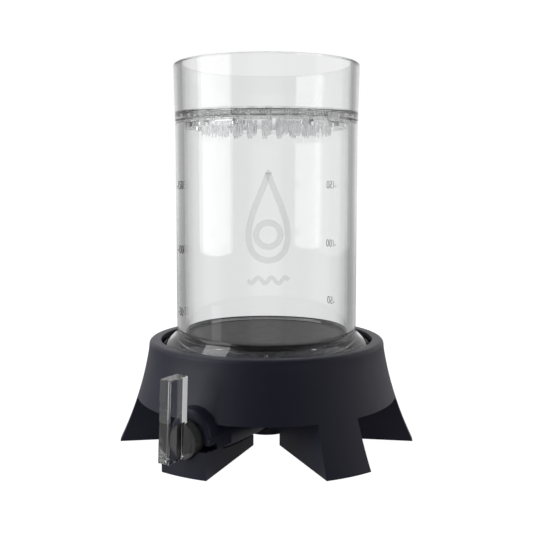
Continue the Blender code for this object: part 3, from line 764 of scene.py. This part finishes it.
# ---------------------------------------------------------------- valve
def make_knob():
    """Knob with a slot for the lever in its face and a square socket in its back."""
    back, front = KNOB
    knob = turned([(0.0, front), (KNOB_R, front, 0.25), (KNOB_R, back, 0.2), (0.0, back)], SMALL,
                  closed=False)
    slot_low = (LEVER_ASIDE - LEVER_HALF - GAP, -9.0, SLOT_FLOOR)
    slot_high = (LEVER_ASIDE + LEVER_HALF + GAP, 9.0, front + 1.0)
    knob = combine(knob, boxes([(slot_low, slot_high, -LEVER_LEAN)]))
    socket_low, socket_high = (-2.1, -2.1, back - 1.0), (2.1, 2.1, SLOT_FLOOR - GAP)
    knob = combine(knob, boxes([(socket_low, socket_high, 0.0)]))
    show("slotted_knob", knob, VALVE, "valve", DARK, ["valve_knob"], ease=0.12)


def make_lever():
    """Clear bar with a shorter tongue that sits in the knob's slot."""
    low, high = LEVER_Z[0] - VALVE_Z, LEVER_Z[1] - VALVE_Z
    left, right = LEVER_ASIDE - LEVER_HALF, LEVER_ASIDE + LEVER_HALF
    lever = boxes([((left, low, LEVER[0]), (right, high, LEVER[1]), -LEVER_LEAN)])
    tongue_in, tongue_half = TONGUE
    tongue = boxes([((left, -tongue_half, tongue_in), (right, tongue_half, LEVER[0] + 1.0), -LEVER_LEAN)])
    lever = combine(lever, tongue, "UNION")
    show("clear_lever", lever, VALVE, "valve", CLEAR, ["valve_lever"],
         ease=0.3, segments=3)


def make_spindle():
    """Spindle with two seal grooves, a neck for the snap ring, a square end and a cross bore."""
    seal_at, groove_r, half = 6.2, 3.1, 0.95
    inner_end = BARREL_ENDS[0] - 0.1
    corners = [(0.0, 46.9), (PLUG_R, 46.9, 0.3)]
    for centre in (seal_at, -seal_at):
        corners += [(PLUG_R, centre + half, 0.1), (groove_r, centre + half, 0.1),
                    (groove_r, centre - half, 0.1), (PLUG_R, centre - half, 0.1)]
    corners += [(PLUG_R, inner_end, 0.1), (2.9, inner_end), (2.9, inner_end - 1.1),
                (4.0, inner_end - 1.1, 0.1), (4.0, inner_end - 2.1, 0.3), (0.0, inner_end - 2.1)]
    spindle = turned(corners, SMALL, closed=False, segments=3)
    square = boxes([((-1.8, -1.8, 45.0), (1.8, 1.8, SLOT_FLOOR - 2.0 * GAP), 0.0)])
    spindle = combine(spindle, square, "UNION")
    port = rods([(0.0, 0.0)], PORT_R - 0.2, 0.0, 24.0, 48)
    spindle = combine(spindle, port, place=VALVE.inverted() @ BREWER)
    show("valve_spindle", spindle, VALVE, "valve", DARK, ["valve_plug"])


def make_snap_ring():
    """Open ring in the spindle's neck, at the inner end of the barrel."""
    near, far = BARREL_ENDS[0] - 0.4, BARREL_ENDS[0] - 0.9
    clip = turned([(3.2, near), (5.4, near, 0.1), (5.4, far, 0.1), (3.2, far)], SMALL)
    clip = combine(clip, boxes([((-2.4, -8.0, far - 1.0), (2.4, -1.0, near + 1.0), 0.0)]))
    show("snap_ring", clip, VALVE, "valve", STEEL, ["valve_retaining_clip"], ease=0.05)


def dress_cad_nodes():
    """Hidden CAD pieces stay as they are and take the fine materials."""
    looks = {"filter_support_grid": BLACK, "plug_o_ring_outer": RUBBER, "plug_o_ring_inner": RUBBER}
    for name, material in looks.items():
        node = frame["nodes"][name]
        for place in node.material_slots:
            place.material = material


# ---------------------------------------------------------------- stage, light and camera
# Levels of the world.  FIELD_SEEN is by cos 4a - 1, where a is the heading from the nearest side:
# 0 is straight at a side and -2 halfway between two.  FIELD_LIGHT is by heading, 1 behind and -1 in front.
FIELD_SEEN = ((-2.0, 0.36), (-1.2, 0.45), (-0.85, 0.7), (-0.45, 0.86), (0.0, 0.9))
FIELD_LIGHT = ((-1.0, 0.11), (-0.2, 0.19), (0.15, 0.45), (0.6, 0.6), (0.8, 0.7), (0.92, 0.8), (1.0, 0.9))
# TABLE_LIGHT stands for the floor; it runs from left to right.  BELOW_HORIZON says how much of it
# counts at each climb of a ray, and STEEP how much of STEEP_SEEN does for a steep ray.
TABLE_LIGHT = ((-1.0, 0.3), (1.0, 0.32))
BELOW_HORIZON = ((-1.0, 1.0), (-0.12, 1.0), (-0.02, 0.0), (1.0, 0.0))
STEEP = ((0.0, 0.0), (0.27, 0.0), (0.4, 1.0), (1.0, 1.0))
STEEP_SEEN = (0.8, 0.8, 0.8, 1.0)
FLOOR_HALF = 12.0            # metres
SHADE_R = 42.0               # mm, the dark disc under the object
SHADE_LEVEL = 0.2
SOFTBOX_AT = 0.7             # metres from the axis
TUBE_FACES = 4               # clear faces on a way straight through the tube
CAMERA_AT = (0.0, -0.2874, 0.08766)
CAMERA_TILT = 84.29          # degrees from straight down
CAMERA_LENS = 57.46


def stage_sheet(name, mesh, material, height=0.0):
    """A flat sheet that belongs to the stage, not to the object."""
    mesh.materials.append(material)
    sheet = new_object(name, mesh)
    sheet.location.z = height
    sheet.visible_shadow = False
    return sheet


def glowing(name, colour, level):
    """A matt material with an even white glow of its own."""
    material, _, shader = new_material(name, colour, 0.9)
    shader.inputs["Emission Color"].default_value = (1.0, 1.0, 1.0, 1.0)
    shader.inputs["Emission Strength"].default_value = level
    return material


def make_floor():
    """Plain pale floor.  Only the camera sees it; the world stands in for it as light, with a dark
    disc for the table that the object shades."""
    half = FLOOR_HALF
    mesh = bpy.data.meshes.new("floor")
    mesh.from_pydata([(-half, -half, 0.0), (half, -half, 0.0), (half, half, 0.0), (-half, half, 0.0)], [],
                     [(0, 1, 2, 3)])
    floor = stage_sheet("floor", mesh, glowing("pale_floor", (0.1, 0.1, 0.1), 1.0))
    floor.visible_diffuse = False
    floor.visible_glossy = False
    floor.visible_transmission = False

    disc = bmesh.new()
    bmesh.ops.create_circle(disc, cap_ends=True, segments=64, radius=mm(SHADE_R))
    shaded = glowing("table_in_shade", (0.02, 0.02, 0.02), SHADE_LEVEL)
    shade = stage_sheet("shade_under_object", finished_mesh(disc), shaded, mm(-0.5))
    shade.location.xy = BREWER.translation.xy
    shade.visible_camera = False


def math_node(tree, operation, first, second=None):
    """A Math node; each input is a socket or a number."""
    node = tree.nodes.new("ShaderNodeMath")
    node.operation = operation
    for index, value in enumerate((first, second)):
        if isinstance(value, bpy.types.NodeSocket):
            tree.links.new(value, node.inputs[index])
        elif value is not None:
            node.inputs[index].default_value = value
    return node.outputs["Value"]


def level_ramp(tree, source, low, high, stops):
    """Grey levels at places between low and high; stops are (place, level)."""
    ranger = spread(tree, source, 0.0, 1.0).node
    ranger.inputs["From Min"].default_value = low
    ranger.inputs["From Max"].default_value = high
    ramp = tree.nodes.new("ShaderNodeValToRGB")
    for k, (place, level) in enumerate(stops):
        position = (place - low) / (high - low)
        stop = ramp.color_ramp.elements[k] if k < 2 else ramp.color_ramp.elements.new(position)
        stop.position = position
        stop.color = (level, level, level, 1.0)
    tree.links.new(ranger.outputs["Result"], ramp.inputs["Fac"])
    return ramp.outputs["Color"]


def mixed_colour(tree, factor, first, second):
    """The colour of a Mix node; each input is a socket or a value."""
    node = tree.nodes.new("ShaderNodeMix")
    node.data_type = "RGBA"
    for socket, value in (("Factor", factor), ("A", first), ("B", second)):
        target = next(i for i in node.inputs if i.name == socket and i.enabled)
        if isinstance(value, bpy.types.NodeSocket):
            tree.links.new(value, target)
        else:
            target.default_value = value
    return next(o for o in node.outputs if o.enabled)


def make_world():
    """White to the camera.  Seen through the clear parts, it is a bright field with darker stretches
    between the four sides; as light, it is bright behind the object and dim in front of it."""
    world = bpy.data.worlds.new("studio")
    bpy.context.scene.world = world
    world.use_nodes = True
    tree = world.node_tree
    tree.nodes.clear()
    place = tree.nodes.new("ShaderNodeTexCoord")
    flat = tree.nodes.new("ShaderNodeVectorMath")
    flat.operation = "MULTIPLY"
    flat.inputs[1].default_value = (1.0, 1.0, 0.0)
    tree.links.new(place.outputs["Generated"], flat.inputs[0])
    heading = tree.nodes.new("ShaderNodeVectorMath")
    heading.operation = "NORMALIZE"
    tree.links.new(flat.outputs["Vector"], heading.inputs[0])
    split = tree.nodes.new("ShaderNodeSeparateXYZ")
    tree.links.new(heading.outputs["Vector"], split.inputs["Vector"])
    climb = tree.nodes.new("ShaderNodeSeparateXYZ")
    tree.links.new(place.outputs["Generated"], climb.inputs["Vector"])

    behind = split.outputs["Y"]
    square = math_node(tree, "MULTIPLY", behind, behind)
    fourfold = math_node(tree, "MULTIPLY", math_node(tree, "SUBTRACT", square, 1.0),
                         math_node(tree, "MULTIPLY", square, 8.0))
    sides = level_ramp(tree, fourfold, -2.0, 0.0, FIELD_SEEN)
    steepness = math_node(tree, "ABSOLUTE", climb.outputs["Z"])
    evenly = level_ramp(tree, steepness, 0.0, 1.0, STEEP)
    seen_through = mixed_colour(tree, evenly, sides, STEEP_SEEN)
    round_about = level_ramp(tree, behind, -1.0, 1.0, FIELD_LIGHT)
    below = level_ramp(tree, climb.outputs["Z"], -1.0, 1.0, BELOW_HORIZON)
    table = level_ramp(tree, split.outputs["X"], -1.0, 1.0, TABLE_LIGHT)
    round_about = mixed_colour(tree, below, round_about, table)
    path = tree.nodes.new("ShaderNodeLightPath")
    level = mixed_colour(tree, path.outputs["Is Transmission Ray"], round_about, seen_through)
    level = mixed_colour(tree, path.outputs["Is Camera Ray"], level, (1.0, 1.0, 1.0, 1.0))
    background = tree.nodes.new("ShaderNodeBackground")
    tree.links.new(level, background.inputs["Color"])
    output = tree.nodes.new("ShaderNodeOutputWorld")
    tree.links.new(background.outputs["Background"], output.inputs["Surface"])


def unseen_straight_through(light):
    """Keep a light out of rays that have only gone straight through the tube and never bounced."""
    light.use_nodes = True
    tree = light.node_tree
    path = tree.nodes.new("ShaderNodeLightPath")
    bounces = math_node(tree, "ADD", path.outputs["Glossy Depth"], path.outputs["Diffuse Depth"])
    through = math_node(tree, "GREATER_THAN", path.outputs["Transmission Depth"], TUBE_FACES - 0.5)
    straight = math_node(tree, "SUBTRACT", through, bounces)
    shown = math_node(tree, "LESS_THAN", straight, 0.5)
    tree.links.new(shown, tree.nodes["Emission"].inputs["Strength"])


def put_lamp(light, place, rotation):
    """Put a light in the scene, where the camera does not see it."""
    unseen_straight_through(light)
    lamp = new_object(light.name, light)
    lamp.location = place
    lamp.rotation_euler = rotation
    lamp.visible_camera = False
    return lamp


def softbox(name, azimuth, half_angle, low, high, radiance, seen_through=True):
    """An upright area light round the object, between heights low and high in metres; azimuth 0 is
    in front and 90 to the right.  With seen_through off it shows in reflections but not through
    the clear parts."""
    turn = math.radians(azimuth)
    width = 2.0 * SOFTBOX_AT * math.tan(math.radians(half_angle))
    light = bpy.data.lights.new(name, "AREA")
    light.shape = "RECTANGLE"
    light.size = width
    light.size_y = high - low
    light.energy = radiance * math.pi * width * (high - low)
    place = (SOFTBOX_AT * math.sin(turn), -SOFTBOX_AT * math.cos(turn), (low + high) / 2.0)
    lamp = put_lamp(light, place, (math.radians(90.0), 0.0, turn))
    lamp.visible_transmission = seen_through


def overhead_softbox(name, place, size, radiance):
    """A square area light above the object, aimed at it."""
    light = bpy.data.lights.new(name, "AREA")
    light.shape = "SQUARE"
    light.size = size
    light.energy = radiance * math.pi * size * size
    put_lamp(light, place, Vector(place).to_track_quat("Z", "Y").to_euler())


def make_camera():
    """The photograph's view."""
    camera = bpy.data.cameras.new("camera")
    camera.lens = CAMERA_LENS
    camera.sensor_width = 36.0
    camera.clip_start = 0.01
    view = new_object("camera", camera)
    view.location = CAMERA_AT
    view.rotation_euler = (math.radians(CAMERA_TILT), 0.0, 0.0)
    bpy.context.scene.camera = view


def make_studio():
    """Camera, floor, world and softboxes."""
    scene = bpy.context.scene
    scene.view_settings.view_transform = "Standard"
    scene.cycles.max_bounces = 24
    scene.cycles.transmission_bounces = 24
    scene.cycles.transparent_max_bounces = 16
    make_camera()
    make_floor()
    make_world()
    softbox("left_softbox", azimuth=-67.0, half_angle=23.0, low=0.005, high=0.7, radiance=2.15)
    softbox("right_card", azimuth=95.0, half_angle=33.0, low=0.005, high=0.5, radiance=0.4)
    softbox("low_card", azimuth=-64.0, half_angle=7.0, low=-0.3, high=-0.05, radiance=0.95,
            seen_through=False)
    softbox("front_right_card", azimuth=45.0, half_angle=20.0, low=-0.2, high=0.4, radiance=0.18,
            seen_through=False)
    overhead_softbox("top_softbox", place=(-0.42, 0.2, 0.78), size=0.3, radiance=3.2)


make_studio()
make_footed_base()
make_funnel()
make_spout()
make_screen()
make_gasket()
make_screws()
make_brew_tube()
make_alignment_pip()
make_volume_marks()
make_emblem()
make_spreader_cap()
make_knob()
make_lever()
make_spindle()
make_snap_ring()
dress_cad_nodes()
